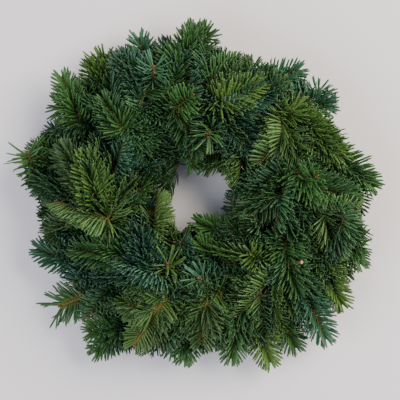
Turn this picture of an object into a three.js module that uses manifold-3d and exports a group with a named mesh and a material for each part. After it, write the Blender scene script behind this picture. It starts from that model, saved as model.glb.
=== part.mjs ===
// A fresh noble fir wreath on a wire clamp ring, lying on its back.
// Millimetres, +Z towards the viewer, the surface it lies on at z = 0.
import * as THREE from "three";
import { mergeVertices } from "three/addons/utils/BufferGeometryUtils.js";
import Module from "manifold-3d";

const wasm = await Module();
wasm.setup();

// ---------------------------------------------------------------- driving dimensions
const RING_RADIUS = 127; // middle of the two rails, a 10 inch clamp ring
const RAIL_OFFSET = 11; // each rail lies this far inside or outside that middle
const RAIL_HEIGHT = 3; // thickness of the rail wire
const RAIL_SIDES = 5;
const RAIL_REACH = 1.74; // from the middle of its height to its furthest edge, and a little more
const RAIL_STEPS = 24;
const CLAMP_COUNT = 12;
const FIRST_CLAMP_DEGREES = 98; // bundle 0, seen from the front; the others follow clockwise
const CLAMP_HALF_WIDTH = 15; // from the middle of the clamp to the middle of its wire
const CLAMP_TOP = 19.6; // height of the folded prongs' middle
const CLAMP_BOTTOM = 2.9; // height of the welded bar's middle
const CLAMP_WIRE_RADIUS = 1.3;
const CLAMP_PRONG_GAP = 5; // between the two prong ends, above the bundle
const CLAMP_CORNER = 5;
const CLAMP_STEPS = 9;

const STEM_BEHIND = 13; // the cut end stands this far behind the middle of its clamp
const STEM_AHEAD = 11; // and the stem leaves straight for this far past it
const STEM_RADIUS = 2.1; // at the cut end
const TWIG_RADIUS = 1.2; // at the bud
const SIDE_RADIUS = 1.5; // where a side shoot starts
const SIDE_BARE = 5; // it has no needles for this far
const LEAVE_PULL = 0.42; // how long the bend keeps the stem's way, as a share of its reach
const ARRIVE_PULL = 0.36; // and how soon it takes the way of the part that shows
const TWIG_SIDES = 4;
const BARE_STEP = 26; // length of one band of the bare stem
const NEEDLED_BEND = 42; // needles start this far before the part of the tip that shows
const NEEDLED_BEND_SHARE = 0.72; // but on no more than this share of the bend
const WHORL_PITCH = 13.4; // eight needles every so often along the twig
const WHORL_BAND = 2.4; // length of the band they grow from
const WHORL_TURN = 22; // degrees that each whorl is turned on from the last
const BUD_LENGTH = 5;
const TIP_BRUSH = 15; // the twig ends this far short of where its last needles end
const NEEDLE_LENGTH = 27;
const NEEDLE_TIP_SHARE = 0.78; // the last needles, as a share of the longest
const NEEDLE_TIP_RADIUS = 0.15;
const NEEDLE_SHORTEST = 0.94; // a needle's length varies from this share of what it would be
const NEEDLE_SPREAD = 0.12; // to this much more
const SWEEP_AT_BASE = 58; // degrees between a needle and its twig
const SWEEP_AT_TIP = 34;
const SWEEP_SPREAD = 11; // every second needle of a whorl stands off more, the others less
const SWEEP_JITTER = 5;
const TURN_JITTER = 8;
const NEEDLE_TRIES = 30;
const TRIES_PER_SPREAD = 5; // after so many tries, the jitter is as large again
const LEAN_PER_TRY = 0.8; // degrees that every try leans further along the twig
const SHRINK_PER_TRY = 0.022;
const LEAST_OUTWARDS = 0.2; // a needle's way has at least this share away from the twig
const OWN_ROOT_SHARE = 0.22; // so far along, a needle may touch the others of its own twig
const OWN_ROOT_TAPER = 0.6; // its radius there, as a share of the radius at its root
const WHORL_NEIGHBOUR = 5.5; // needles rooted closer than this share a band
const GAP = 0.35; // clear space kept to every neighbour
const FLOOR_GAP = 0.6;
const HOLE_GAP = 1;
const HOLE_BOX = new THREE.Box3( // stays free of needles, all the way through
  new THREE.Vector3(-24, -23, -1),
  new THREE.Vector3(32, 21, 200),
);

// Where a stem lies in its clamp: how far outwards from the middle, how high, and how much it then
// reaches upwards to pass over the next clamp.
const LANES = {
  low_outer: [9.5, 8.3, 11],
  low_middle: [0, 8.3, 11],
  low_inner: [-9.5, 8.3, 11],
  high_outer: [9.5, 14.5, 20],
  high_middle: [0, 14.5, 20],
  high_inner: [-9.5, 14.5, 20],
};

const GRID_CELL = 20; // side of a cube of the grid that near pieces are looked up in
const FIRST_SEED = 1000;
const SEED_STEP = 37;

const TINTS = {
  deep: { color: 0x2f5b34, roughness: 0.5 },
  blue: { color: 0x5f9182, roughness: 0.5 },
  light: { color: 0x7fa04c, roughness: 0.5 },
};

// The fir tips, as they were laid: bundle, lane in the clamp, tint, how far the needles are combed
// to the left (+) or right (-) of the way the tip grows, then where the needled part starts and where
// it ends, from the wreath's middle, height last. A side shoot starts part of the way along and has an
// end of its own.
const TIPS = [
  [0, "low_outer", "blue", 0, [73, 131, 44], [140, 160, 34]],
  [0, "low_inner", "deep", 0, [20, 85, 58], [12, 62, 92]],
  [0, "high_outer", "deep", 0, [22, 140, 62], [60, 171, 48]],
  [0, "high_middle", "light", 0, [40, 117, 72], [90, 140, 64]],
  [0, "high_inner", "blue", 0.4, [46, 100, 66], [90, 98, 66]],
  [1, "low_outer", "blue", 0, [130, 107, 38], [180, 114, 34], 0.45, [160, 144, 26]],
  [1, "low_middle", "light", 0, [111, 88, 52], [120, 110, 88]],
  [1, "low_inner", "light", 0.4, [56, 46, 50], [50, 2, 46]],
  [1, "high_outer", "light", 0, [152, 66, 58], [190, 36, 48]],
  [1, "high_middle", "light", -0.4, [105, 74, 74], [100, 36, 70], 0.3, [70, 28, 64]],
  [2, "low_outer", "deep", 0, [172, 48, 40], [232, 2, 30]],
  [2, "low_middle", "light", 0.4, [160, -22, 66], [212, -17, 60]],
  [2, "low_inner", "deep", 0, [88, 22, 44], [60, -22, 50]],
  [2, "high_middle", "deep", 0, [130, 16, 74], [154, -16, 72], 0.05, [157, 27, 92]],
  [2, "high_inner", "deep", 0.3, [102, -12, 72], [93, -58, 66]],
  [3, "low_outer", "deep", 0, [182, -42, 36], [210, -98, 28], 0.45, [220, -66, 34]],
  [3, "low_middle", "light", 0, [158, -94, 40], [188, -148, 28]],
  [3, "low_inner", "deep", 0.3, [84, -58, 48], [64, -16, 82]],
  [3, "high_outer", "deep", 0.3, [180, -34, 62], [174, -86, 54]],
  [3, "high_middle", "deep", 0, [112, -82, 64], [130, -131, 54]],
  [3, "high_inner", "light", 0, [80, -82, 62], [58, -66, 86]],
  [4, "low_outer", "blue", 0, [139, -131, 42], [168, -191, 28]],
  [4, "low_middle", "deep", 0, [108, -158, 26], [131, -203, 20]],
  [4, "low_inner", "deep", 0, [64, -62, 34], [-10, -30, 26]],
  [4, "high_outer", "deep", 0, [52, -156, 44], [42, -216, 26]],
  [4, "high_middle", "light", -0.4, [82, -115, 62], [44, -160, 52]],
  [5, "low_outer", "light", 0, [78, -165, 32], [97, -222, 20]],
  [5, "low_middle", "deep", 0, [-8, -174, 30], [-18, -218, 20], 0.02, [-50, -196, 26]],
  [5, "low_inner", "deep", 0, [24, -82, 42], [-6, -50, 46]],
  [5, "high_outer", "light", -0.3, [12, -134, 68], [6, -197, 46]],
  [5, "high_middle", "deep", 0, [-15, -140, 50], [-22, -147, 80]],
  [5, "high_inner", "blue", 0, [14, -108, 62], [-4, -98, 92]],
  [6, "low_outer", "deep", 0, [-88, -158, 30], [-134, -208, 20], 0.02, [-146, -176, 28]],
  [6, "low_inner", "light", 0, [-31, -96, 58], [-36, -78, 92]],
  [6, "high_outer", "light", 0.4, [-44, -136, 68], [-83, -197, 48], 0.1, [-96, -134, 58]],
  [6, "high_inner", "blue", 0.3, [-60, -92, 72], [-108, -78, 70]],
  [7, "low_outer", "deep", -0.3, [-110, -115, 34], [-184, -146, 22]],
  [7, "low_middle", "blue", 0, [-138, -86, 34], [-211, -65, 24]],
  [7, "low_inner", "light", -0.3, [-52, -40, 54], [-46, 12, 52], 0.1, [-34, -62, 46]],
  [7, "high_inner", "deep", 0, [-83, -76, 60], [-124, -50, 58]],
  [8, "low_outer", "deep", 0, [-204, 40, 36], [-213, 60, 58]],
  [8, "low_middle", "deep", 0, [-156, -48, 26], [-196, -12, 22]],
  [8, "low_inner", "blue", 0.3, [-100, -24, 54], [-62, -4, 64]],
  [8, "high_outer", "deep", -0.3, [-143, -5, 58], [-174, 50, 52]],
  [8, "high_middle", "light", 0, [-124, 8, 78], [-137, 60, 76]],
  [8, "high_inner", "light", 0.4, [-117, -26, 82], [-183, -4, 68]],
  [9, "low_outer", "light", 0, [-166, 42, 30], [-192, 80, 24]],
  [9, "low_inner", "deep", 0, [-82, 14, 36], [-46, 48, 46]],
  [9, "high_inner", "blue", -0.3, [-98, 34, 60], [-82, 80, 76]],
  [10, "low_outer", "deep", 0, [-146, 100, 40], [-172, 158, 34], 0.05, [-186, 116, 34]],
  [10, "low_middle", "light", 0, [-116, 126, 30], [-137, 176, 26], 0.4, [-110, 188, 26]],
  [10, "high_outer", "deep", 0.4, [-67, 118, 58], [-84, 178, 50]],
  [10, "high_middle", "deep", 0, [-78, 80, 60], [-60, 44, 52]],
  [10, "high_inner", "deep", 0, [-92, 84, 68], [-120, 127, 62]],
  [11, "low_outer", "blue", 0, [-58, 150, 32], [-76, 208, 28]],
  [11, "low_inner", "deep", 0, [-14, 66, 36], [-1, 22, 34], 0.1, [-46, 42, 44]],
  [11, "high_outer", "blue", 0, [-53, 142, 58], [-50, 162, 88]],
  [11, "high_middle", "deep", 0, [-26, 139, 52], [2, 218, 44], 0.5, [25, 210, 38]],
  [11, "high_inner", "deep", 0, [-19, 109, 72], [6, 126, 92]],
];

// ---------------------------------------------------------------- small helpers
const vector = (x, y, z) => new THREE.Vector3(x, y, z);
const mix = THREE.MathUtils.lerp;
const radians = THREE.MathUtils.degToRad;

/** A repeatable stream of numbers from 0 to 1 (a 32-bit linear congruential generator). */
function seededRandom(seed) {
  let state = seed;
  return () => {
    state = (Math.imul(state, 1664525) + 1013904223) >>> 0;
    return state / 4294967296;
  };
}

/** The closed mesh of a geometry, with its shared corners merged, as a manifold solid. */
function solidOf(geometry) {
  const bare = geometry.clone();
  bare.deleteAttribute("normal");
  bare.deleteAttribute("uv");
  const merged = mergeVertices(bare, 1e-4);
  return new wasm.Manifold(
    new wasm.Mesh({
      numProp: 3,
      vertProperties: new Float32Array(merged.attributes.position.array),
      triVerts: new Uint32Array(merged.index.array),
    }),
  );
}

/** A three.js geometry from a manifold solid. */
function geometryOf(solid) {
  const mesh = solid.getMesh();
  const geometry = new THREE.BufferGeometry();
  geometry.setAttribute("position", new THREE.BufferAttribute(mesh.vertProperties, 3));
  geometry.setIndex(new THREE.BufferAttribute(mesh.triVerts, 1));
  geometry.computeVertexNormals();
  return geometry;
}

/**
 * Shortest way between two straight pieces a-b and c-d.
 * Gives its length and how far along each piece it starts and ends, from 0 to 1.
 */
function shortestWay(a, b, c, d) {
  const ab = vector(b.x - a.x, b.y - a.y, b.z - a.z);
  const cd = vector(d.x - c.x, d.y - c.y, d.z - c.z);
  const ca = vector(a.x - c.x, a.y - c.y, a.z - c.z);
  const abab = ab.dot(ab);
  const cdcd = cd.dot(cd);
  const abcd = ab.dot(cd);
  const abca = ab.dot(ca);
  const cdca = cd.dot(ca);
  const limit = (value) => Math.min(1, Math.max(0, value));
  const apart = abab * cdcd - abcd * abcd;
  let s = apart > 1e-9 ? limit((abcd * cdca - cdcd * abca) / apart) : 0;
  const t = limit((abcd * s + cdca) / cdcd);
  s = limit((abcd * t - abca) / abab);
  const from = a.clone().addScaledVector(ab, s);
  const to = c.clone().addScaledVector(cd, t);
  return { length: from.distanceTo(to), s, t };
}

/** Tapered straight pieces of wire, twig and needle, kept in a grid so that near ones are found fast. */
class Thicket {
  constructor(cell) {
    this.cell = cell;
    this.cells = new Map();
  }

  *keys(piece) {
    const low = piece.a.clone().min(piece.b).divideScalar(this.cell).floor();
    const high = piece.a.clone().max(piece.b).divideScalar(this.cell).floor();
    for (let x = low.x - 1; x <= high.x + 1; x++) {
      for (let y = low.y - 1; y <= high.y + 1; y++) {
        for (let z = low.z - 1; z <= high.z + 1; z++) yield `${x},${y},${z}`;
      }
    }
  }

  add(piece) {
    const low = piece.a.clone().min(piece.b).divideScalar(this.cell).floor();
    const high = piece.a.clone().max(piece.b).divideScalar(this.cell).floor();
    for (let x = low.x; x <= high.x; x++) {
      for (let y = low.y; y <= high.y; y++) {
        for (let z = low.z; z <= high.z; z++) {
          const key = `${x},${y},${z}`;
          if (!this.cells.has(key)) this.cells.set(key, []);
          this.cells.get(key).push(piece);
        }
      }
    }
  }

  /** True when a piece keeps its distance to all pieces but those that `skip` names. */
  clears(piece, skip) {
    const seen = new Set();
    for (const key of this.keys(piece)) {
      for (const other of this.cells.get(key) ?? []) {
        if (seen.has(other) || skip(other)) continue;
        seen.add(other);
        const way = shortestWay(piece.a, piece.b, other.a, other.b);
        const own = mix(piece.rootRadius, piece.tipRadius, way.s);
        const theirs = mix(other.rootRadius, other.tipRadius, way.t);
        if (way.length < own + theirs + GAP) return false;
      }
    }
    return true;
  }
}

// ---------------------------------------------------------------- the clamp ring
const clampDegrees = (bundle) => FIRST_CLAMP_DEGREES - (360 / CLAMP_COUNT) * bundle;

/** A place by a clamp: outwards from the ring's middle, clockwise along the ring, and up. */
function byClamp(bundle, outwards, along, up) {
  const angle = radians(clampDegrees(bundle));
  const reach = RING_RADIUS + outwards;
  return vector(
    Math.cos(angle) * reach + Math.sin(angle) * along,
    Math.sin(angle) * reach - Math.cos(angle) * along,
    up,
  );
}

/** One rail: a five-sided wire with a flat underside, turned round the wreath's middle. */
function rail(radius) {
  const size = RAIL_HEIGHT / (1 + Math.cos(Math.PI / RAIL_SIDES));
  const profile = [];
  for (let side = 0; side <= RAIL_SIDES; side++) {
    const angle = -Math.PI / 2 + (Math.PI * (1 + 2 * side)) / RAIL_SIDES;
    profile.push(
      new THREE.Vector2(
        radius + size * Math.cos(angle),
        size * Math.sin(angle) + size * Math.cos(Math.PI / RAIL_SIDES),
      ),
    );
  }
  const turn = radians(FIRST_CLAMP_DEGREES);
  return new THREE.LatheGeometry(profile, RAIL_STEPS).rotateX(Math.PI / 2).rotateZ(turn);
}

/** The wire of one clamp, from prong end to prong end, round the bundle. */
function clampPath(bundle) {
  const w = CLAMP_HALF_WIDTH;
  const r = CLAMP_CORNER;
  const half = CLAMP_PRONG_GAP / 2;
  const places = [
    [half, CLAMP_TOP],
    [w - r, CLAMP_TOP],
    [w, CLAMP_TOP - r],
    [w, CLAMP_BOTTOM + r],
    [w - r, CLAMP_BOTTOM],
    [0, CLAMP_BOTTOM],
    [r - w, CLAMP_BOTTOM],
    [-w, CLAMP_BOTTOM + r],
    [-w, CLAMP_TOP - r],
    [r - w, CLAMP_TOP],
    [-half, CLAMP_TOP],
  ];
  const points = places.map(([outwards, up]) => byClamp(bundle, outwards, 0, up));
  return new THREE.CatmullRomCurve3(points, false, "centripetal");
}

function clampWire(bundle) {
  const section = new THREE.Shape();
  for (let side = 0; side < 4; side++) {
    const angle = (Math.PI / 2) * side;
    const x = CLAMP_WIRE_RADIUS * Math.cos(angle);
    const y = CLAMP_WIRE_RADIUS * Math.sin(angle);
    if (side === 0) section.moveTo(x, y);
    else section.lineTo(x, y);
  }
  section.closePath();
  return new THREE.ExtrudeGeometry(section, {
    steps: CLAMP_STEPS,
    extrudePath: clampPath(bundle),
    bevelEnabled: false,
  });
}

function clampRing() {
  let ring = solidOf(rail(RING_RADIUS - RAIL_OFFSET));
  ring = ring.add(solidOf(rail(RING_RADIUS + RAIL_OFFSET)));
  for (let bundle = 0; bundle < CLAMP_COUNT; bundle++) {
    ring = ring.add(solidOf(clampWire(bundle)));
  }
  return geometryOf(ring);
}

/** The ring's wires as straight pieces, for the sprays to keep clear of. */
function ringPieces() {
  const pieces = [];
  const push = (a, b, radius) => {
    pieces.push({ a, b, rootRadius: radius, tipRadius: radius, owner: "ring" });
  };
  for (const radius of [RING_RADIUS - RAIL_OFFSET, RING_RADIUS + RAIL_OFFSET]) {
    for (let step = 0; step < RAIL_STEPS; step++) {
      const from = radians(FIRST_CLAMP_DEGREES + (360 / RAIL_STEPS) * step);
      const to = radians(FIRST_CLAMP_DEGREES + (360 / RAIL_STEPS) * (step + 1));
      const up = RAIL_HEIGHT / 2;
      const a = vector(radius * Math.cos(from), radius * Math.sin(from), up);
      const b = vector(radius * Math.cos(to), radius * Math.sin(to), up);
      push(a, b, RAIL_REACH);
    }
  }
  for (let bundle = 0; bundle < CLAMP_COUNT; bundle++) {
    const points = clampPath(bundle).getSpacedPoints(CLAMP_STEPS);
    for (let step = 0; step < CLAMP_STEPS; step++) {
      push(points[step], points[step + 1], CLAMP_WIRE_RADIUS);
    }
  }
  return pieces;
}

// ---------------------------------------------------------------- the twigs
/** The middle line of a tip: straight in its clamp, then a bend, then the part that shows. */
function twigRoute(bundle, lane, start, end) {
  const [outwards, up, rise] = LANES[lane];
  const cut = byClamp(bundle, outwards, -STEM_BEHIND, up);
  const leave = byClamp(bundle, outwards, STEM_AHEAD, up);
  const ahead = leave.clone().sub(cut).normalize();
  const from = vector(...start);
  const heading = vector(...end).sub(from).normalize();
  const bud = vector(...end).addScaledVector(heading, -TIP_BRUSH);
  const reach = leave.distanceTo(from);
  const route = new THREE.CurvePath();
  route.add(new THREE.LineCurve3(cut, leave));
  route.add(
    new THREE.CubicBezierCurve3(
      leave,
      leave.clone().addScaledVector(ahead, reach * LEAVE_PULL).add(vector(0, 0, rise)),
      from.clone().addScaledVector(heading, -reach * ARRIVE_PULL),
      from,
    ),
  );
  route.add(new THREE.LineCurve3(from, bud));
  return route;
}

/** A side shoot's middle line, rooted in the middle of the twig that carries it. */
function sideRoute(twig, share, end) {
  const root = twig.curves[2].getPoint(share);
  const heading = vector(...end).sub(root).normalize();
  const route = new THREE.CurvePath();
  route.add(new THREE.LineCurve3(root, vector(...end).addScaledVector(heading, -TIP_BRUSH)));
  return route;
}

/**
 * Stations along a middle line: straight for the first stretch, bare up to `bare`, then a whorl of
 * needles every WHORL_PITCH.
 * `whorl` is the number of the whorl that a station belongs to, and `grows` marks where it starts.
 */
function stationsOf(route, straight, bare, rootRadius) {
  const length = route.getLength();
  const stations = [];
  const push = (along, whorl, grows) => {
    const place = route.getPoint(along / length);
    const radius = mix(rootRadius, TWIG_RADIUS, along / length);
    stations.push({ place, radius, whorl, grows });
  };
  push(0, 0, false);
  const bareSteps = Math.round((bare - straight) / BARE_STEP);
  for (let step = 0; step < bareSteps; step++) {
    push(mix(straight, bare, step / bareSteps), 0, false);
  }
  const whorls = Math.max(2, Math.round((length - WHORL_BAND - bare) / WHORL_PITCH));
  for (let whorl = 0; whorl <= whorls; whorl++) {
    const along = mix(bare, length - WHORL_BAND, whorl / whorls);
    push(along, whorl, true);
    push(along + WHORL_BAND, whorl, false);
  }
  return stations;
}

/** All that is needed to skin one tip: its twig's stations and those of its side shoot. */
function shootsOf([bundle, lane, , , start, end, share, sideEnd]) {
  const route = twigRoute(bundle, lane, start, end);
  const [stem, bend] = route.getCurveLengths();
  const needledBend = Math.min(NEEDLED_BEND, (bend - stem) * NEEDLED_BEND_SHARE);
  const shoots = [stationsOf(route, stem, bend - needledBend, STEM_RADIUS)];
  if (sideEnd) {
    shoots.push(stationsOf(sideRoute(route, share, sideEnd), 0, SIDE_BARE, SIDE_RADIUS));
  }
  return shoots;
}

/** The straight pieces of a twig, for needles to keep clear of. */
function twigPieces(stations, owner) {
  const pieces = [];
  for (let step = 1; step < stations.length; step++) {
    pieces.push({
      a: stations[step - 1].place,
      b: stations[step].place,
      rootRadius: stations[step - 1].radius,
      tipRadius: stations[step].radius,
      owner,
    });
  }
  return pieces;
}

// ---------------------------------------------------------------- twig and needles as one skin
/** Directions along a twig, with a sideways one carried from station to station without twist. */
function framesOf(stations) {
  const frames = [];
  let side = vector(0.31, 0.17, 0.93);
  stations.forEach((station, index) => {
    const before = stations[Math.max(0, index - 1)].place;
    const after = stations[Math.min(stations.length - 1, index + 1)].place;
    const along = after.clone().sub(before).normalize();
    side = side.clone().addScaledVector(along, -side.dot(along)).normalize();
    frames.push({ along, side, across: along.clone().cross(side) });
  });
  return frames;
}

/**
 * A four-sided twig whose rings are each turned half a step, so that its skin is triangles.
 * The eight small triangles of a whorl's band are each drawn out into a three-sided needle.
 */
function twigSkin(stations, comb, owner, thicket, random) {
  const frames = framesOf(stations);
  const corners = [];
  const faces = [];
  const corner = (ring, side) => ring * TWIG_SIDES + (side % TWIG_SIDES);
  stations.forEach(({ place, radius, whorl }, ring) => {
    const { side, across } = frames[ring];
    for (let k = 0; k < TWIG_SIDES; k++) {
      const angle = (Math.PI / TWIG_SIDES) * (ring + 2 * k) + radians(WHORL_TURN) * whorl;
      const edge = place.clone().addScaledVector(side, radius * Math.cos(angle));
      corners.push(edge.addScaledVector(across, radius * Math.sin(angle)));
    }
  });
  const last = stations.length - 1;
  const bud = stations[last].place.clone().addScaledVector(frames[last].along, BUD_LENGTH);
  const budTip = corners.push(bud) - 1;
  const firstWhorl = stations.findIndex((station) => station.grows);

  const addFace = (root, ring, standOff) => {
    const share = (ring - firstWhorl) / (last - firstWhorl);
    const places = root.map((n) => corners[n]);
    const tip = stations[ring].grows && growNeedle(places, frames[ring], share, standOff);
    if (!tip) {
      faces.push(root);
      return;
    }
    const tipCorner = corners.push(tip) - 1;
    for (let edge = 0; edge < 3; edge++) {
      faces.push([root[edge], root[(edge + 1) % 3], tipCorner]);
    }
  };

  for (let k = 1; k < TWIG_SIDES - 1; k++) faces.push([0, corner(0, k + 1), corner(0, k)]);
  for (let ring = 0; ring < last; ring++) {
    for (let k = 0; k < TWIG_SIDES; k++) {
      const next = ring + 1;
      addFace([corner(ring, k), corner(ring, k + 1), corner(next, k)], ring, -SWEEP_SPREAD);
      addFace([corner(next, k), corner(ring, k + 1), corner(next, k + 1)], ring, SWEEP_SPREAD);
    }
  }
  for (let k = 0; k < TWIG_SIDES; k++) {
    faces.push([corner(last, k), corner(last, k + 1), budTip]);
  }

  /** Tries a needle from a root triangle, bent further each time; gives its tip, if it fits. */
  function growNeedle([a, b, c], frame, share, standOff) {
    const middle = a.clone().add(b).add(c).divideScalar(3);
    const outwards = b.clone().sub(a).cross(c.clone().sub(a));
    outwards.addScaledVector(frame.along, -outwards.dot(frame.along)).normalize();
    const sideways = frame.along.clone().cross(outwards);
    const left = vector(-frame.along.y, frame.along.x, 0);
    const rootRadius = Math.max(...[a, b, c].map((place) => place.distanceTo(middle)));
    const fullLength = NEEDLE_LENGTH * mix(1, NEEDLE_TIP_SHARE, share * share);
    const sweep = mix(SWEEP_AT_BASE, SWEEP_AT_TIP, share) + standOff;
    for (let attempt = 0; attempt < NEEDLE_TRIES; attempt++) {
      const spread = 1 + attempt / TRIES_PER_SPREAD;
      const lean = sweep - attempt * LEAN_PER_TRY;
      const tilt = radians(lean + SWEEP_JITTER * spread * (2 * random() - 1));
      const turn = radians(TURN_JITTER * spread * (2 * random() - 1));
      const variation = NEEDLE_SHORTEST + NEEDLE_SPREAD * random();
      const length = fullLength * (1 - SHRINK_PER_TRY * attempt) * variation;
      const direction = outwards
        .clone()
        .multiplyScalar(Math.cos(turn) * Math.sin(tilt))
        .addScaledVector(sideways, Math.sin(turn) * Math.sin(tilt))
        .addScaledVector(frame.along, Math.cos(tilt))
        .addScaledVector(left, comb)
        .normalize();
      if (direction.dot(outwards) < LEAST_OUTWARDS) continue;
      const tip = middle.clone().addScaledVector(direction, length);
      const needle = { a: middle, b: tip, rootRadius, tipRadius: NEEDLE_TIP_RADIUS, owner };
      if (needleFits(needle)) {
        thicket.add(needle);
        return tip;
      }
    }
    return null;
  }

  function needleFits(needle) {
    if (needle.b.z < FLOOR_GAP) return false;
    const ray = new THREE.Ray(needle.a, needle.b.clone().sub(needle.a).normalize());
    const hit = ray.intersectBox(HOLE_BOX, vector(0, 0, 0));
    const reach = needle.a.distanceTo(needle.b) + HOLE_GAP;
    if (hit && hit.distanceTo(needle.a) < reach) return false;
    if (!thicket.clears(needle, (other) => other.owner === owner)) return false;
    const outer = {
      ...needle,
      a: needle.a.clone().lerp(needle.b, OWN_ROOT_SHARE),
      rootRadius: needle.rootRadius * OWN_ROOT_TAPER,
    };
    return thicket.clears(
      outer,
      (other) => other.owner !== owner || other.a.distanceTo(needle.a) < WHORL_NEIGHBOUR,
    );
  }

  const geometry = new THREE.BufferGeometry();
  const flat = corners.flatMap((place) => [place.x, place.y, place.z]);
  geometry.setAttribute("position", new THREE.Float32BufferAttribute(flat, 3));
  geometry.setIndex(faces.flat());
  return geometry;
}

// ---------------------------------------------------------------- the wreath
const wires = ringPieces();
const sprays = TIPS.map((tip) => ({ tip, shoots: shootsOf(tip) }));
const thicket = new Thicket(GRID_CELL);
for (const wire of wires) thicket.add(wire);
sprays.forEach(({ shoots }, number) => {
  shoots.forEach((stations, shoot) => {
    for (const piece of twigPieces(stations, `${number}/${shoot}`)) {
      thicket.add(piece);
    }
  });
});

const wreath = new THREE.Group();
const enamel = new THREE.MeshStandardMaterial({ color: 0x24452c, roughness: 0.42, metalness: 0.1 });
const ringMesh = new THREE.Mesh(clampRing(), enamel);
ringMesh.name = "clamp_ring";
wreath.add(ringMesh);

sprays.forEach(({ tip, shoots }, number) => {
  const [bundle, lane, tint, comb] = tip;
  const random = seededRandom(FIRST_SEED + SEED_STEP * number);
  const skins = shoots.map((stations, shoot) =>
    twigSkin(stations, comb, `${number}/${shoot}`, thicket, random),
  );
  const whole = skins.map(solidOf).reduce((joined, part) => joined.add(part));
  const material = new THREE.MeshStandardMaterial({ ...TINTS[tint], metalness: 0 });
  const spray = new THREE.Mesh(geometryOf(whole), material);
  spray.name = `spray_${String(bundle).padStart(2, "0")}_${lane}`;
  wreath.add(spray);
});

const box = new THREE.Box3().setFromObject(wreath);
wreath.position.set(-(box.min.x + box.max.x) / 2, -(box.min.y + box.max.y) / 2, 0);
wreath.updateMatrixWorld(true);

export default wreath;
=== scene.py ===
# %% [markdown]
# # A fresh noble fir wreath
# This lesson dresses a wreath that lies on its back on a pale table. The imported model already
# holds its clamp ring and 59 sprays with a few coarse needles each. Here every spray is made
# again at the needle density of the real tree, on the same twig lines, and the ring again of
# round wire, and each gets its finishes. The frame comes first, so that each piece goes where
# the solid one is.

# %% The frame
import math

import bpy
import numpy as np
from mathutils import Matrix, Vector


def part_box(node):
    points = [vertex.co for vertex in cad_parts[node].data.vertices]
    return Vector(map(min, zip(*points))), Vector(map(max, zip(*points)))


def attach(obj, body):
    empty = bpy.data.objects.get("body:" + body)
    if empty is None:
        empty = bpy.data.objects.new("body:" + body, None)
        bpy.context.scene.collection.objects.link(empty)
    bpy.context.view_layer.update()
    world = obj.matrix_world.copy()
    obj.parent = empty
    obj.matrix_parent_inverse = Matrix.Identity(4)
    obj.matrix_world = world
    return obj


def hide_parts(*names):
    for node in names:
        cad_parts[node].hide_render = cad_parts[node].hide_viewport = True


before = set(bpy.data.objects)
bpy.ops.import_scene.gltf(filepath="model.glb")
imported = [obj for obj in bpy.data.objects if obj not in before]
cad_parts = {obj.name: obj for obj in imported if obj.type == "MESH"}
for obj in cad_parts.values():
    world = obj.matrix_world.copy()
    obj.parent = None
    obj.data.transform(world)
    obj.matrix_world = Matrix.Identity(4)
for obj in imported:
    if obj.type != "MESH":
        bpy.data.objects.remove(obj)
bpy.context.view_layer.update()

MM = 0.001
ring_low, ring_high = (np.array(corner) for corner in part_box("clamp_ring"))
MIDDLE = (ring_low + ring_high) / 2 / MM * np.array([1, 1, 0])
print("sprays in the frame:", len(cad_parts) - 1, "ring's middle, mm:", MIDDLE.round(1))

# %% [markdown]
# The photograph looks straight down on the wreath from about a metre and a half, which is a
# narrow lens. One pixel of its 400 covers 1.24 mm at the height of the middle of the foliage.
# The picture's centre lies a few millimetres to the right of the ring's middle and below it.

# %% The camera
CAMERA_HEIGHT = 1500
FOCUS_HEIGHT = 45
PICTURE_PIXELS = 400
PIXEL_SIZE = 1.24
PICTURE_WIDTH = PICTURE_PIXELS * PIXEL_SIZE
PICTURE_CENTRE = np.array([5, -7, 0])
camera_data = bpy.data.cameras.new("camera")
camera_data.angle = 2 * math.atan(PICTURE_WIDTH / 2 / (CAMERA_HEIGHT - FOCUS_HEIGHT))
camera = bpy.data.objects.new("camera", camera_data)
bpy.context.scene.collection.objects.link(camera)
camera.location = (MIDDLE + PICTURE_CENTRE + [0, 0, CAMERA_HEIGHT]) * MM
bpy.context.scene.camera = camera
print("lens angle:", round(math.degrees(camera_data.angle), 1), "degrees")

# %% [markdown]
# Two small helpers serve every material. Colours are written as the sRGB values a paint chart
# would give, and turned to the linear light that the renderer works in. Nodes are added one at
# a time, with their settings and the sockets that feed them.

# %% Colour and node helpers


def linear(hex_colour):
    """sRGB to linear light: each channel is (c + 0.055) / 1.055 to the power 2.4, or c / 12.92."""
    channels = np.array([int(hex_colour[i : i + 2], 16) for i in (1, 3, 5)]) / 255
    light = np.where(channels > 0.04045, ((channels + 0.055) / 1.055) ** 2.4, channels / 12.92)
    return (*light, 1.0)


def add_node(material, kind, settings=None, **inputs):
    """Adds one node; a tuple (node, output) or a plain value fills each named input."""
    node = material.node_tree.nodes.new(kind)
    for name, value in (settings or {}).items():
        setattr(node, name, value)
    for name, value in inputs.items():
        socket = node.inputs[int(name[1:])] if name[0] == "_" else node.inputs[name.replace("_", " ")]
        if isinstance(value, tuple) and isinstance(value[0], bpy.types.Node):
            material.node_tree.links.new(value[0].outputs[value[1]], socket)
        else:
            socket.default_value = value
    return node


def new_material(name):
    """An empty node material and its Principled shader."""
    material = bpy.data.materials.new(name)
    material.use_nodes = True
    return material, material.node_tree.nodes["Principled BSDF"]


def feed(material, shader, **links):
    """Links node outputs to the shader's inputs."""
    for name, (node, output) in links.items():
        material.node_tree.links.new(node.outputs[output], shader.inputs[name.replace("_", " ")])


print("pure paper white in linear light:", linear("#ffffff")[0])

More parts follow.
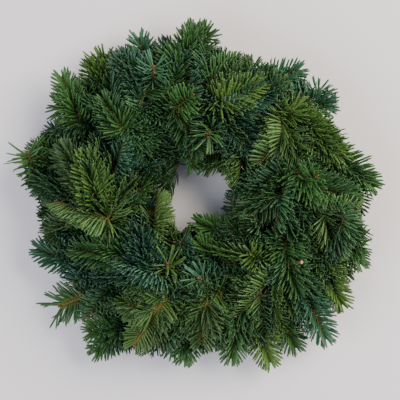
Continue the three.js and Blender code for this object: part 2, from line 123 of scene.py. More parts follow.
# %% [markdown]
# A noble fir needle is a stiff, four-sided blade under a layer of wax. The wax scatters light,
# so the needle is green in its body and blue-grey where the bloom is thick, most of all in the
# pale lines of pores along its underside. It is a coated leaf and not a metal, so it keeps the
# refraction of wax and a middling roughness, and the colour does the work: the eye sees a soft
# sheen and no sharp highlight. Four numbers that each needle carries say how far along it a point
# is, how near its underside, which needle it is, and how old its shoot is, so the pattern follows
# the needle however it lies. Only the bloom's thin and thick patches, 2.4 mm wide, do not. The
# mature colour is darker than old needles really are: it holds painted shade, and the side
# shoots, which lie low among the tips, are made oldest, so they carry most of it.

# %% Needle finishes
WAX_IOR = 1.44
WAXY_PATCH = 1000 / 420
AGE_SPREAD = 0.4
YELLOW_ROOT, YELLOW_ROOT_END, YELLOW_ROOT_SHARE = "#8c8c34", 0.3, 0.6


def needle_material(name, young, mature_and_shade, bloom, roughness):
    """Body colour from young to mature, the mature colour darkened as painted shade, yellower at the
    root, with the bloom on the underside.
    """
    material, shader = new_material(name)
    chance = add_node(material, "ShaderNodeAttribute", {"attribute_name": "chance"})
    along = add_node(material, "ShaderNodeAttribute", {"attribute_name": "along"})
    under = add_node(material, "ShaderNodeAttribute", {"attribute_name": "under"})
    age = add_node(material, "ShaderNodeAttribute", {"attribute_name": "age"})
    place = add_node(material, "ShaderNodeTexCoord")
    mottle = add_node(
        material, "ShaderNodeTexNoise", Vector=(place, "Object"), Scale=1000.0 / WAXY_PATCH,
        Detail=2.0, Roughness=0.6,
    )
    spread = add_node(
        material, "ShaderNodeMath", {"operation": "MULTIPLY_ADD"},
        _0=(chance, "Fac"), _1=AGE_SPREAD, _2=-AGE_SPREAD / 2,
    )
    # older shoots take more of the mature colour, which is partly painted shade
    ripeness_and_shade = add_node(
        material, "ShaderNodeMath", {"operation": "ADD", "use_clamp": True},
        _0=(age, "Fac"), _1=(spread, "Value"),
    )
    body = add_node(
        material, "ShaderNodeMix", {"data_type": "RGBA"},
        _0=(ripeness_and_shade, "Value"), _6=linear(young), _7=linear(mature_and_shade),
    )
    root = add_node(
        material, "ShaderNodeMapRange", Value=(along, "Fac"), From_Min=0.0, From_Max=YELLOW_ROOT_END,
        To_Min=YELLOW_ROOT_SHARE, To_Max=0.0,
    )
    rooted = add_node(
        material, "ShaderNodeMix", {"data_type": "RGBA"},
        _0=(root, "Result"), _6=(body, 2), _7=linear(YELLOW_ROOT),
    )
    bloom_mask = add_node(
        material, "ShaderNodeMath", {"operation": "MULTIPLY", "use_clamp": True},
        _0=(under, "Fac"), _1=(mottle, "Fac"),
    )
    bloomed = add_node(
        material, "ShaderNodeMix", {"data_type": "RGBA"},
        _0=(bloom_mask, "Value"), _6=(rooted, 2), _7=linear(bloom),
    )
    feed(material, shader, Base_Color=(bloomed, 2))
    shader.inputs["Roughness"].default_value = roughness
    shader.inputs["IOR"].default_value = WAX_IOR
    return material


# the second colour of each tint is for mature needles, darkened as painted shade
NEEDLES = {
    "deep": needle_material("noble_fir_needle_deep", "#3e682c", "#113018", "#5d886b", 0.38),
    "blue": needle_material("noble_fir_needle_blue", "#386746", "#143625", "#6a9280", 0.4),
    "light": needle_material("noble_fir_needle_light", "#51742d", "#193a18", "#668b5b", 0.38),
}
print("needle finishes:", ", ".join(material.name for material in NEEDLES.values()))

# %% [markdown]
# The twigs are olive-brown and finely furrowed, with darker scars: matt bark, with no highlight.
# The buds at their ends are covered in short brown scales, and a skin of resin gives them a small
# soft one. Where a stem was cut it shows matt, pale wood, pinkish from the sap. The clamp ring is
# steel wire under dark green stove enamel, so it has a narrow highlight along each wire.

# %% Twig, bud, cut wood and enamel finishes
SPOTS_FROM, SPOTS_TO = 0.35, 0.65
BUMP_STRENGTH = 0.6


def spotted_material(name, light, dark, scale_mm, roughness, bump_mm):
    """Two colours mixed by noise with spots about scale_mm wide, and a bump of the same pattern."""
    material, shader = new_material(name)
    place = add_node(material, "ShaderNodeTexCoord")
    noise = add_node(
        material, "ShaderNodeTexNoise", Vector=(place, "Object"), Scale=1000.0 / scale_mm,
        Detail=4.0, Roughness=0.62,
    )
    contrast = add_node(
        material, "ShaderNodeMapRange", Value=(noise, "Fac"), From_Min=SPOTS_FROM, From_Max=SPOTS_TO
    )
    colour = add_node(
        material, "ShaderNodeMix", {"data_type": "RGBA"},
        _0=(contrast, "Result"), _6=linear(dark), _7=linear(light),
    )
    bump = add_node(
        material, "ShaderNodeBump", Height=(noise, "Fac"), Distance=bump_mm * MM,
        Strength=BUMP_STRENGTH,
    )
    feed(material, shader, Base_Color=(colour, 2), Normal=(bump, "Normal"))
    shader.inputs["Roughness"].default_value = roughness
    return material


BARK = spotted_material("fir_twig_bark", "#6c6026", "#443a17", 1.6, 0.75, 0.25)
BUD = spotted_material("fir_bud_scales", "#6a4c26", "#3f2815", 0.9, 0.4, 0.15)
CUT_WOOD = spotted_material("fresh_cut_fir_wood", "#b9967c", "#94705a", 0.8, 0.7, 0.05)
ENAMEL = spotted_material("green_stove_enamel_wire", "#24492e", "#183420", 2.2, 0.34, 0.03)
SURFACES = [BARK, BUD, CUT_WOOD]
print("woody finishes:", ", ".join(material.name for material in SURFACES))

# %% [markdown]
# Every piece below is a set of plain arrays: places, faces and, for needles, the four numbers
# that their finish reads. One function gathers such parts into a single mesh, so a spray with
# a thousand needles is still one object.

# %% Gathering parts into one mesh
ATTRIBUTES = ("along", "under", "chance", "age")


def make_piece(name, parts, materials):
    """Joins parts (places in mm, face arrays, material number, attributes) into one mesh."""
    sizes = [len(part["places"]) for part in parts]
    starts = np.concatenate([[0], np.cumsum(sizes)])
    places = np.concatenate([part["places"] for part in parts]) + MIDDLE
    loops, totals, surfaces = [], [], []
    for part, start in zip(parts, starts):
        for faces in part["faces"]:
            loops.append((faces + start).ravel())
            totals.append(np.full(len(faces), faces.shape[1]))
            surfaces.append(np.full(len(faces), part["surface"]))
    loops, totals = np.concatenate(loops), np.concatenate(totals)
    mesh = bpy.data.meshes.new(name)
    mesh.vertices.add(len(places))
    mesh.vertices.foreach_set("co", (places * MM).astype(np.float32).ravel())
    mesh.loops.add(len(loops))
    mesh.loops.foreach_set("vertex_index", loops.astype(np.int32))
    mesh.polygons.add(len(totals))
    mesh.polygons.foreach_set("loop_start", (np.cumsum(totals) - totals).astype(np.int32))
    mesh.polygons.foreach_set("material_index", np.concatenate(surfaces).astype(np.int32))
    mesh.polygons.foreach_set("use_smooth", totals <= 4)  # the flat ends of tubes have more corners
    for attribute in ATTRIBUTES:
        values = np.concatenate([part.get(attribute, np.zeros(len(part["places"]))) for part in parts])
        layer = mesh.attributes.new(attribute, "FLOAT", "POINT")
        layer.data.foreach_set("value", values.astype(np.float32))
    for material in materials:
        mesh.materials.append(material)
    mesh.update(calc_edges=True)
    piece = bpy.data.objects.new(name, mesh)
    bpy.context.scene.collection.objects.link(piece)
    return piece


print("numbers that each needle carries:", ", ".join(ATTRIBUTES))

# %% [markdown]
# The wreath is made of bundles. Each bundle's stems lie in one clamp of the ring, in six lanes,
# and the tips fan out clockwise over the next bundle. A lane has its place outwards from the
# ring's middle line, its height, and how far its bend rises. The list gives each tip as laid:
# its bundle and lane, its tint, how far its needles are combed to the left (+) or right (-),
# then where the part that shows starts and ends, height last, in millimetres from the ring's
# middle. Some carry a side shoot: where along the tip it starts, and its own end.

# %% The tips as they were laid
RING_RADIUS = 127
CLAMP_COUNT = 12
FIRST_CLAMP_DEGREES = 98
LANES = {
    "low_outer": (9.5, 8.3, 11),
    "low_middle": (0, 8.3, 11),
    "low_inner": (-9.5, 8.3, 11),
    "high_outer": (9.5, 14.5, 20),
    "high_middle": (0, 14.5, 20),
    "high_inner": (-9.5, 14.5, 20),
}
TIPS = [
    (0, "low_outer", "blue", 0, (73, 131, 44), (140, 160, 34)),
    (0, "low_inner", "deep", 0, (20, 85, 58), (12, 62, 92)),
    (0, "high_outer", "deep", 0, (22, 140, 62), (60, 171, 48)),
    (0, "high_middle", "light", 0, (40, 117, 72), (90, 140, 64)),
    (0, "high_inner", "blue", 0.4, (46, 100, 66), (90, 98, 66)),
    (1, "low_outer", "blue", 0, (130, 107, 38), (180, 114, 34), 0.45, (160, 144, 26)),
    (1, "low_middle", "light", 0, (111, 88, 52), (120, 110, 88)),
    (1, "low_inner", "light", -0.3, (56, 46, 50), (50, 2, 46)),
    (1, "high_outer", "light", 0, (152, 66, 58), (190, 36, 48)),
    (1, "high_middle", "light", -0.4, (105, 74, 74), (100, 36, 70), 0.3, (70, 28, 64)),
    (2, "low_outer", "deep", 0, (172, 48, 40), (232, 2, 30)),
    (2, "low_middle", "light", 0.4, (160, -22, 66), (212, -17, 60)),
    (2, "low_inner", "deep", 0, (88, 22, 44), (60, -22, 50)),
    (2, "high_middle", "deep", 0, (130, 16, 74), (154, -16, 72), 0.05, (157, 27, 92)),
    (2, "high_inner", "deep", 0.3, (102, -12, 72), (93, -58, 66)),
    (3, "low_outer", "deep", 0, (182, -42, 36), (210, -98, 28), 0.45, (220, -66, 34)),
    (3, "low_middle", "light", 0, (158, -94, 40), (188, -148, 28)),
    (3, "low_inner", "deep", 0.3, (84, -58, 48), (64, -16, 82)),
    (3, "high_outer", "deep", 0.3, (180, -34, 62), (174, -86, 54)),
    (3, "high_middle", "deep", 0, (112, -82, 64), (130, -131, 54)),
    (3, "high_inner", "light", 0, (80, -82, 62), (58, -66, 86)),
    (4, "low_outer", "blue", 0, (139, -131, 42), (168, -191, 28)),
    (4, "low_middle", "deep", 0, (108, -158, 26), (131, -203, 20)),
    (4, "low_inner", "deep", 0, (64, -62, 34), (-10, -30, 26)),
    (4, "high_outer", "deep", 0, (52, -156, 44), (42, -216, 26)),
    (4, "high_middle", "light", -0.4, (82, -115, 62), (44, -160, 52)),
    (5, "low_outer", "light", 0, (78, -165, 32), (97, -222, 20)),
    (5, "low_middle", "deep", 0, (-8, -174, 30), (-18, -218, 20), 0.02, (-50, -196, 26)),
    (5, "low_inner", "deep", 0, (24, -82, 42), (-6, -50, 46)),
    (5, "high_outer", "light", -0.3, (12, -134, 68), (6, -197, 46)),
    (5, "high_middle", "deep", 0, (-15, -140, 50), (-22, -147, 80)),
    (5, "high_inner", "blue", 0, (14, -108, 62), (-4, -98, 92)),
    (6, "low_outer", "deep", 0, (-88, -158, 30), (-134, -208, 20), 0.02, (-146, -176, 28)),
    (6, "low_inner", "light", 0, (-31, -96, 58), (-36, -78, 92)),
    (6, "high_outer", "light", 0.4, (-44, -136, 68), (-83, -197, 48), 0.1, (-96, -134, 58)),
    (6, "high_inner", "blue", 0.3, (-60, -92, 72), (-108, -78, 70)),
    (7, "low_outer", "deep", -0.3, (-110, -115, 34), (-184, -146, 22)),
    (7, "low_middle", "blue", 0, (-138, -86, 34), (-211, -65, 24)),
    (7, "low_inner", "light", -0.3, (-52, -40, 54), (-46, 12, 52), 0.1, (-34, -62, 46)),
    (7, "high_inner", "deep", 0, (-83, -76, 60), (-124, -50, 58)),
    (8, "low_outer", "deep", 0, (-204, 40, 36), (-213, 60, 58)),
    (8, "low_middle", "deep", 0, (-156, -48, 26), (-196, -12, 22)),
    (8, "low_inner", "blue", 0.3, (-100, -24, 54), (-62, -4, 64)),
    (8, "high_outer", "deep", -0.3, (-143, -5, 58), (-174, 50, 52)),
    (8, "high_middle", "light", 0, (-124, 8, 78), (-137, 60, 76)),
    (8, "high_inner", "light", 0.4, (-117, -26, 82), (-183, -4, 68)),
    (9, "low_outer", "light", 0, (-166, 42, 30), (-192, 80, 24)),
    (9, "low_inner", "deep", 0, (-82, 14, 36), (-46, 48, 46)),
    (9, "high_inner", "blue", -0.3, (-98, 34, 60), (-82, 80, 76)),
    (10, "low_outer", "deep", 0, (-146, 100, 40), (-172, 158, 34), 0.05, (-186, 116, 34)),
    (10, "low_middle", "light", 0, (-116, 126, 30), (-137, 176, 26), 0.4, (-110, 188, 26)),
    (10, "high_outer", "deep", 0.4, (-67, 118, 58), (-84, 178, 50)),
    (10, "high_middle", "deep", 0, (-78, 80, 60), (-60, 44, 52)),
    (10, "high_inner", "deep", 0, (-92, 84, 68), (-120, 127, 62)),
    (11, "low_outer", "blue", 0, (-58, 150, 32), (-76, 208, 28)),
    (11, "low_inner", "deep", 0, (-14, 66, 36), (-1, 22, 34), 0.1, (-46, 42, 44)),
    (11, "high_outer", "blue", 0, (-53, 142, 58), (-50, 162, 88)),
    (11, "high_middle", "deep", 0, (-26, 139, 52), (2, 218, 44), 0.5, (25, 210, 38)),
    (11, "high_inner", "deep", 0, (-19, 109, 72), (6, 126, 92)),
]
print("tips:", len(TIPS), "with a side shoot:", sum(len(tip) > len(TIPS[0]) for tip in TIPS))

# %% [markdown]
# A twig's middle line has three stretches: straight through its clamp, a bend that rises over
# the next clamp and turns to the way the tip points, and the straight part that shows. The bend
# is a cubic Bezier curve, the usual way to join two places and two directions without a kink.

# %% Twig lines
STEM_BEHIND = 13
STEM_AHEAD = 11
TIP_BRUSH = 15
STEM_RADIUS = 2.1
TWIG_RADIUS = 1.2
SIDE_RADIUS = 1.5
PULL_OUT, PULL_IN = 0.42, 0.36
BEND_POINTS = 60
LEAST_STEPS = 4


def unit(vectors):
    """Vectors divided by their length."""
    return vectors / np.linalg.norm(vectors, axis=-1, keepdims=True)


def by_clamp(bundle, outwards, along, up):
    """A place by a clamp: outwards from the ring's middle line, clockwise along it, and up."""
    angle = math.radians(FIRST_CLAMP_DEGREES - 360 / CLAMP_COUNT * bundle)
    reach = RING_RADIUS + outwards
    return np.array([
        math.cos(angle) * reach + math.sin(angle) * along,
        math.sin(angle) * reach - math.cos(angle) * along,
        up,
    ])


def evenly(points, spacing):
    """The same line with its points evenly spaced, by interpolating over the length run so far."""
    run = np.concatenate([[0], np.cumsum(np.linalg.norm(np.diff(points, axis=0), axis=1))])
    count = max(LEAST_STEPS, int(round(run[-1] / spacing)))
    at = np.linspace(0, run[-1], count + 1)
    return np.stack([np.interp(at, run, points[:, axis]) for axis in range(3)], axis=1), run[-1]


def twig_line(bundle, lane, start, end):
    """Points of a tip's middle line, and the lengths at which its bend starts and ends."""
    outwards, up, rise = LANES[lane]
    cut = by_clamp(bundle, outwards, -STEM_BEHIND, up)
    leave = by_clamp(bundle, outwards, STEM_AHEAD, up)
    start, end = np.array(start, float), np.array(end, float)
    heading = unit(end - start)
    reach = np.linalg.norm(start - leave)
    pull_out = leave + unit(leave - cut) * reach * PULL_OUT + [0, 0, rise]
    pull_in = start - heading * reach * PULL_IN
    t = np.linspace(0, 1, BEND_POINTS)[:, None]
    s = 1 - t
    bend = s**3 * leave + 3 * s**2 * t * pull_out + 3 * s * t**2 * pull_in + t**3 * start
    bend_length = np.linalg.norm(np.diff(bend, axis=0), axis=1).sum()
    bud = end - heading * TIP_BRUSH
    straight = STEM_BEHIND + STEM_AHEAD
    return np.concatenate([[cut], bend, [bud]]), straight, straight + bend_length


line, bend_from, bend_to = twig_line(*TIPS[0][:2], *TIPS[0][4:6])
print("first twig: leaves its clamp at", bend_from, "mm, shows from", round(bend_to), "mm")

# %% [markdown]
# A tube is a ring of points carried along the line. The ring needs a direction to start from
# at every place, so one sideways direction is carried along and kept square to the line, which
# keeps the tube from twisting.

# %% Frames and tubes
FIRST_SIDE = np.array([0.31, 0.17, 0.93])


def frames_along(points):
    """Along, side and across directions: the side one is carried on, less what points along."""
    along = unit(np.gradient(points, axis=0))
    side = np.empty_like(points)
    carried = FIRST_SIDE
    for number, direction in enumerate(along):
        carried = unit(carried - direction * (carried @ direction))
        side[number] = carried
    return along, side, np.cross(along, side)


def tube(points, radii, sides, surface, end_surface=None):
    """Rings of cos and sin round a line, joined by quads, with a flat face on each end.

    The radii are one for each ring, or one for each corner of each ring.
    """
    along, side, across = frames_along(points)
    angle = np.linspace(0, 2 * np.pi, sides, endpoint=False)
    out = side[:, None] * np.cos(angle)[:, None] + across[:, None] * np.sin(angle)[:, None]
    radii = radii if radii.ndim == 2 else radii[:, None]
    places = (points[:, None] + out * radii[..., None]).reshape(-1, 3)
    ring = np.arange(len(points) - 1)[:, None] * sides
    k = np.arange(sides)
    beside = (k + 1) % sides
    quads = np.stack([ring + k, ring + beside, ring + sides + beside, ring + sides + k], axis=-1)
    first = k[::-1][None]
    last = (len(points) - 1) * sides + k[None]
    parts = [{"places": places, "faces": [quads.reshape(-1, 4), last], "surface": surface}]
    if end_surface is None:
        parts[0]["faces"].append(first)
    else:
        parts.append({"places": places[:sides], "faces": [first], "surface": end_surface})
    return parts


print("a tube of 4 rings with 6 sides has", len(tube(line[:4], np.ones(4), 6, 0)[0]["places"]), "points")

# %% [markdown]
# The needles stand in six rows along the twig, three to each side. Needles that are neighbours
# in a row are 3.7 mm apart, and each row is shifted on from the last, so that they fit between one
# another. On a noble fir the rows part below and sweep up to the shoot's upper side, so a shoot
# looks like a thick brush from above and like a comb from the side. A shoot that lies rolled over
# shows that comb. A shoot from deep shade is flat instead, like a feather, with the twig bare in
# the middle. One that points at the viewer has its rows all round and shows as a star.

# %% Rows of needles
ROW_PITCH = 3.7
ROW_ORDER = np.array([0, 4, 2, 3, 1, 5])
PARTED_TURNS = np.array([24, 54, 84])
FEATHER_TURNS = np.array([62, 76, 90])
ROUND_TURNS = np.array([30, 90, 150])
CLOSER_PER_COMB = 0.8
ROLL_PER_COMB = 225
TURN_SPREAD, STAR_TURN_SPREAD = 3, 24
ALMOST_UP = np.array([0.01, 0.02, 1.0])


def shoot_frame(along, comb):
    """The shoot's upper side, square to the twig and rolled left by its comb, and its right."""
    up = unit(ALMOST_UP - along * along[:, 2:])
    roll = math.radians(ROLL_PER_COMB * comb)
    up = up * math.cos(roll) - np.cross(along, up) * math.sin(roll)
    return up, np.cross(along, up)


def turns_of(count, steep, comb, feather, random):
    """Degrees round the twig from its upper side: rows 0 to 2 on the right, 3 to 5 on the left."""
    row = ROW_ORDER[np.arange(count) % len(ROW_ORDER)]
    parted = FEATHER_TURNS if feather else PARTED_TURNS * (1 - CLOSER_PER_COMB * abs(comb))
    turn = parted[row % 3] + (ROUND_TURNS - parted)[row % 3] * steep
    spread = TURN_SPREAD + (STAR_TURN_SPREAD - TURN_SPREAD) * steep
    return np.where(row < 3, turn, -turn) + random.normal(0, 1, count) * spread


print("rows from the upper side, degrees:", PARTED_TURNS, "as a feather:", FEATHER_TURNS)

# %% [markdown]
# The wreath's hole stays open. Its outline is three ovals, each with its centre and its reach
# along x and y. A needle whose tip would be in one of them ends at the oval's ragged edge instead,
# or is left out where less than half of it would be left.

# %% The open hole
HOLE_OVALS = [((4, -1), (30, 23)), ((-22, 30), (10, 15)), ((-19, -34), (7, 12))]
HOLE_FRINGE = (0.92, 1.12)
LEAST_OF_LENGTH = 0.5
ALMOST_NOTHING = 1e-9


def short_of_hole(roots, tips, random):
    """Share s of each needle outside the hole's ovals, from |b + s a| = 1 measured in reaches."""
    share = np.ones(len(roots))
    for centre, reach in HOLE_OVALS:
        edge = np.array(reach) * random.uniform(*HOLE_FRINGE, len(roots))[:, None]
        b, a = (roots[:, :2] - centre) / edge, (tips[:, :2] - roots[:, :2]) / edge
        ab, aa, bb = (a * b).sum(1), (a * a).sum(1) + ALMOST_NOTHING, (b * b).sum(1)
        reached = (-ab - np.sqrt(np.clip(ab**2 - aa * (bb - 1), 0, None))) / aa
        inside = ((a + b) ** 2).sum(1) < 1
        share = np.where(inside, np.minimum(share, np.where(bb > 1, reached, 0)), share)
    return share


print("the hole's largest oval, mm:", *(2 * reach for reach in HOLE_OVALS[0][1]))

# %% [markdown]
# Each needle leaves the twig almost sideways, then bends up and forwards like a hockey stick, and
# ends blunt. Towards the shoot's end the needles lean forwards and grow shorter, so that it closes
# in a round point, but an open-ended shoot keeps them long, and there they curl more. All needles
# of a shoot are worked out at once: one array of places for 5 cross-sections of 4 corners each.

# %% Needles
NEEDLE_LENGTH = 30
NEEDLE_WIDTH = 2.7
NEEDLE_THICKNESS = 1.1
LENGTH_SPREAD = 0.05
TIP_SHORTER, TOP_SHORTER = 0.5, 0.2
TIP_TAPER = 4.5
TIP_ROUNDING = 6
TILT_AT_BASE, TILT_AT_TIP, TILT_SPREAD = 87, 34, 2.5
STAR_TILT, STAR_TILT_SPREAD = 14, 12
STEEP_FROM, STEEP_TO = 0.55, 0.85
BEND_FORWARDS, COMB_FORWARDS, BEND_UP = 0.23, 0.1, 0.36
COMBED_FROM = 0.25
BEND_SPREAD, OPEN_BEND_SPREAD = 0.045, 0.17
CURVE_SHORTENS = 0.5
TWIST_SPREAD = 0.15
ROOT_DEPTH = 0.7
STATIONS = np.array([0, 0.2, 0.55, 0.92, 1.0])
WIDTHS = np.array([0.5, 0.9, 1.0, 0.85, 0.42])
UNDERSIDE = np.array([0.3, 0.0, 0.3, 1.0])
CORNERS = len(UNDERSIDE)
FLOOR_GAP = 0.8


def needles(points, radii, bare, comb, feather, open_ended, age, random, surface):
    """Each needle's spine is p(u) = root + length * (u * direction + u * u * bend), u from 0 to 1."""
    run = np.concatenate([[0], np.cumsum(np.linalg.norm(np.diff(points, axis=0), axis=1))])
    count = int((run[-1] - bare) * len(ROW_ORDER) / ROW_PITCH)
    share = (np.arange(count) + random.random(count)) / count
    at = bare + (run[-1] - bare) * share

    def at_root(values):
        return np.stack([np.interp(at, run, values[:, axis]) for axis in range(3)], axis=1)

    along = unit(at_root(frames_along(points)[0]))
    up, right = shoot_frame(along, comb)
    steep = np.clip((np.abs(along[:, 2]) - STEEP_FROM) / (STEEP_TO - STEEP_FROM), 0, 1)
    turn = np.radians(turns_of(count, steep, comb, feather, random))[:, None]
    out = up * np.cos(turn) + right * np.sin(turn)
    below = (1 - np.cos(turn)) / 2
    roots = at_root(points) + out * (np.interp(at, run, radii) * ROOT_DEPTH)[:, None]
    tilt = TILT_AT_BASE + (TILT_AT_TIP - TILT_AT_BASE + STAR_TILT * steep) * share**TIP_ROUNDING
    tilt_spread = TILT_SPREAD + (STAR_TILT_SPREAD - TILT_SPREAD) * steep
    tilt = np.radians(tilt + random.normal(0, 1, count) * tilt_spread)[:, None]
    direction = out * np.sin(tilt) + along * np.cos(tilt)
    sweep_up = up * BEND_UP * (0 if feather else 1) * 2 * below * (1 - steep[:, None])
    forwards = COMB_FORWARDS if feather or abs(comb) > COMBED_FROM else BEND_FORWARDS
    bend_spread = OPEN_BEND_SPREAD if open_ended else BEND_SPREAD
    bend = along * forwards + sweep_up + random.normal(0, bend_spread, (count, 3))
    lengths = NEEDLE_LENGTH * random.normal(1, LENGTH_SPREAD, count)
    if not open_ended:
        lengths *= 1 - TIP_SHORTER * (1 - steep / 2) * share**TIP_TAPER
    lengths *= 1 - TOP_SHORTER * (1 - below[:, 0])
    lengths /= 1 + CURVE_SHORTENS * np.linalg.norm(bend, axis=1) ** 2
    tips = roots + lengths[:, None] * (direction + bend)
    # a needle that would pass through the board is lifted at its tip, and then at its middle
    bend[:, 2] += np.clip(FLOOR_GAP - tips[:, 2], 0, None) / lengths
    middles = roots + lengths[:, None] * (direction / 2 + bend / 4)
    direction[:, 2] += 2 * np.clip(FLOOR_GAP - middles[:, 2], 0, None) / lengths
    share_kept = short_of_hole(roots, tips, random)
    lengths *= share_kept
    keep = share_kept > LEAST_OF_LENGTH
    kept = (rows[keep] for rows in (roots, direction, bend, lengths, up))
    roots, direction, bend, lengths, up = kept
    count = len(roots)

    wide = unit(np.cross(up, direction) + random.normal(0, TWIST_SPREAD, (count, 3)))
    thick = unit(np.cross(direction, wide))
    wide = np.cross(thick, unit(direction))
    u = STATIONS[None, :, None]
    spine = roots[:, None] + lengths[:, None, None] * (u * direction[:, None] + u**2 * bend[:, None])
    half_width = wide[:, None] * (WIDTHS * NEEDLE_WIDTH / 2)[None, :, None]
    half_thick = thick[:, None] * (WIDTHS * NEEDLE_THICKNESS / 2)[None, :, None]
    outline = [spine + half_width, spine + half_thick, spine - half_width, spine - half_thick]
    stations = len(STATIONS)
    needle_starts = np.arange(count)[:, None] * stations * CORNERS
    here = needle_starts[:, None] + np.arange(stations - 1)[None, :, None] * CORNERS
    ahead = here + CORNERS
    k = np.arange(CORNERS)
    beside = (k + 1) % CORNERS
    sides = np.stack([here + k, here + beside, ahead + beside, ahead + k], axis=-1)
    root_caps = needle_starts + k[::-1]
    tip_caps = needle_starts + (stations - 1) * CORNERS + k
    shape = (count, stations, CORNERS)
    return {
        "places": np.stack(outline, axis=2).reshape(-1, 3),
        "faces": [np.concatenate([sides.reshape(-1, CORNERS), root_caps, tip_caps])],
        "surface": surface,
        "along": np.broadcast_to(STATIONS[None, :, None], shape).ravel(),
        "under": np.broadcast_to(UNDERSIDE[None, None], shape).ravel(),
        "chance": np.broadcast_to(random.random(count)[:, None, None], shape).ravel(),
        "age": np.full(count * stations * CORNERS, age),
    }


print("needle cross-sections stand at", (STATIONS * NEEDLE_LENGTH).round(1), "mm")

# %% [markdown]
# Three buds close each twig: one large and two small beside it. Each is an egg of scales, worked
# out as a profile turned round the way the twig points.

# %% Buds
BUD_LENGTH = 5.5
BUD_RADIUS = 1.9
BUD_RINGS = np.linspace(0.06, 0.97, 6)
BUD_SIDES = 7
BUD_BLUNTNESS = 0.7
BUD_BASE_WIDTH, BUD_NARROWS = 1.15, 0.3
SIDE_BUD_BACK, SIDE_BUD_OUT, SIDE_BUD_LEAN, SIDE_BUD_SIZE = 1.5, 1.1, 0.8, 0.72


def bud(base, heading, size, surface):
    """An egg: radius * sin(pi * v) ** bluntness * (base width - narrowing * v), v from 0 to 1."""
    v = BUD_RINGS
    points = base + heading * (v * BUD_LENGTH * size)[:, None]
    radii = BUD_RADIUS * size * np.sin(np.pi * v) ** BUD_BLUNTNESS * (BUD_BASE_WIDTH - BUD_NARROWS * v)
    return tube(points, radii, BUD_SIDES, surface)


def bud_group(end, heading, random, surface):
    """One bud straight on and two smaller ones leaning out beside it."""
    lean = unit(np.cross(heading, unit(random.normal(size=3))))
    parts = bud(end - heading, heading, 1.0, surface)
    for way in (1, -1):
        base = end - heading * SIDE_BUD_BACK + lean * way * SIDE_BUD_OUT
        parts += bud(base, unit(heading + lean * way * SIDE_BUD_LEAN), SIDE_BUD_SIZE, surface)
    return parts


print("bud length:", BUD_LENGTH, "mm")

# %% [markdown]
# A cut fir tip is a small frond: shorter shoots leave it left and right at a wide angle. A wreath
# maker turns them to where the wreath is still thin, and the next two cells do the same. The
# first keeps a plan of how crowded each spot is, with 8 mm squares, and works out what a way to
# lie would cost: how crowded it is, and much more where it ends past the rim or in the hole. The
# rim is how far the foliage reaches from the ring's middle, every 15 degrees from the right,
# anticlockwise.

# %% A plan of the crowding
SQUARE = 8
PLAN_REACH = 248
BRUSH_REACH = 15
RIM_STEP = 15
RIM = np.array([
    204, 200, 182, 202, 188, 184, 204, 200, 208, 210, 194, 232,
    210, 204, 190, 214, 236, 206, 200, 190, 208, 216, 214, 214,
])
HOLE_MIDDLE, HOLE_RADIUS = np.array([3, -5]), 37
OUTSIDE_COST = 1000
BELL_WIDTH = 0.7 * BRUSH_REACH
SIDE_CURL = 0.12
SIDE_POINTS = 9
SIDE_DROP_POWER = 1.4
ALMOST_LEVEL = 0.0001
DOME_REACH = 90
DOME_EDGE_HEIGHT, DOME_RISE, DOME_SPREAD = 20, 34, (0.75, 1.2)

squares = int(2 * PLAN_REACH / SQUARE)
crowding = np.zeros((squares, squares))
centres = (np.arange(squares) + 0.5) * SQUARE - PLAN_REACH
plan_x, plan_y = np.meshgrid(centres, centres, indexing="ij")


def crowd(points):
    """Adds a shoot to the plan: a bell of needles round each place of its middle line."""
    for x, y, _ in evenly(points, SQUARE)[0]:
        crowding[:] += np.exp(-((plan_x - x) ** 2 + (plan_y - y) ** 2) / BELL_WIDTH**2)


def cost_of(points):
    """How crowded a shoot's way is on average, and much more where it leaves the wreath."""
    ahead = points[-1] + unit(points[-1] - points[-2]) * BRUSH_REACH
    places = np.vstack([points[len(points) // 3 :], ahead])
    spots = np.clip(((places[:, :2] + PLAN_REACH) / SQUARE).astype(int), 0, squares - 1)
    cost = crowding[spots[:, 0], spots[:, 1]].mean()
    angle = math.degrees(math.atan2(ahead[1], ahead[0])) % 360
    rim = np.interp(angle, np.arange(len(RIM) + 1) * RIM_STEP, [*RIM, RIM[0]])
    past_rim = max(0, math.hypot(*ahead[:2]) - rim)
    in_hole = max(0, HOLE_RADIUS - np.linalg.norm(ahead[:2] - HOLE_MIDDLE))
    return cost + OUTSIDE_COST * ((past_rim > 0) + (in_hole > 0)) + past_rim + in_hole


def side_line(root, along, angle, side, length, drop):
    """p(u) = root + length * (u * way + curl * u * u * along): way is along turned by the angle.

    The height goes from the root's to the drop's with u to a power, so it stays level at first.
    """
    flat = unit(np.array([along[0], along[1], ALMOST_LEVEL]))
    left = np.array([-flat[1], flat[0], 0])
    way = flat * math.cos(angle) + left * side * math.sin(angle)
    u = np.linspace(0, 1, SIDE_POINTS)[:, None]
    line = root + length * (u * way + SIDE_CURL * u**2 * flat)
    line[:, 2] = root[2] + (drop - root[2]) * np.linspace(0, 1, SIDE_POINTS) ** SIDE_DROP_POWER
    return line


def height_under(place, random):
    """Side shoots lie in a dome: low at the rim and round the hole, higher over the ring."""
    off_ring = abs(math.hypot(*place[:2]) - RING_RADIUS) / DOME_REACH
    dome = DOME_EDGE_HEIGHT + DOME_RISE * max(0, 1 - off_ring**2)
    return dome * random.uniform(*DOME_SPREAD)


print("plan squares:", squares, "x", squares)
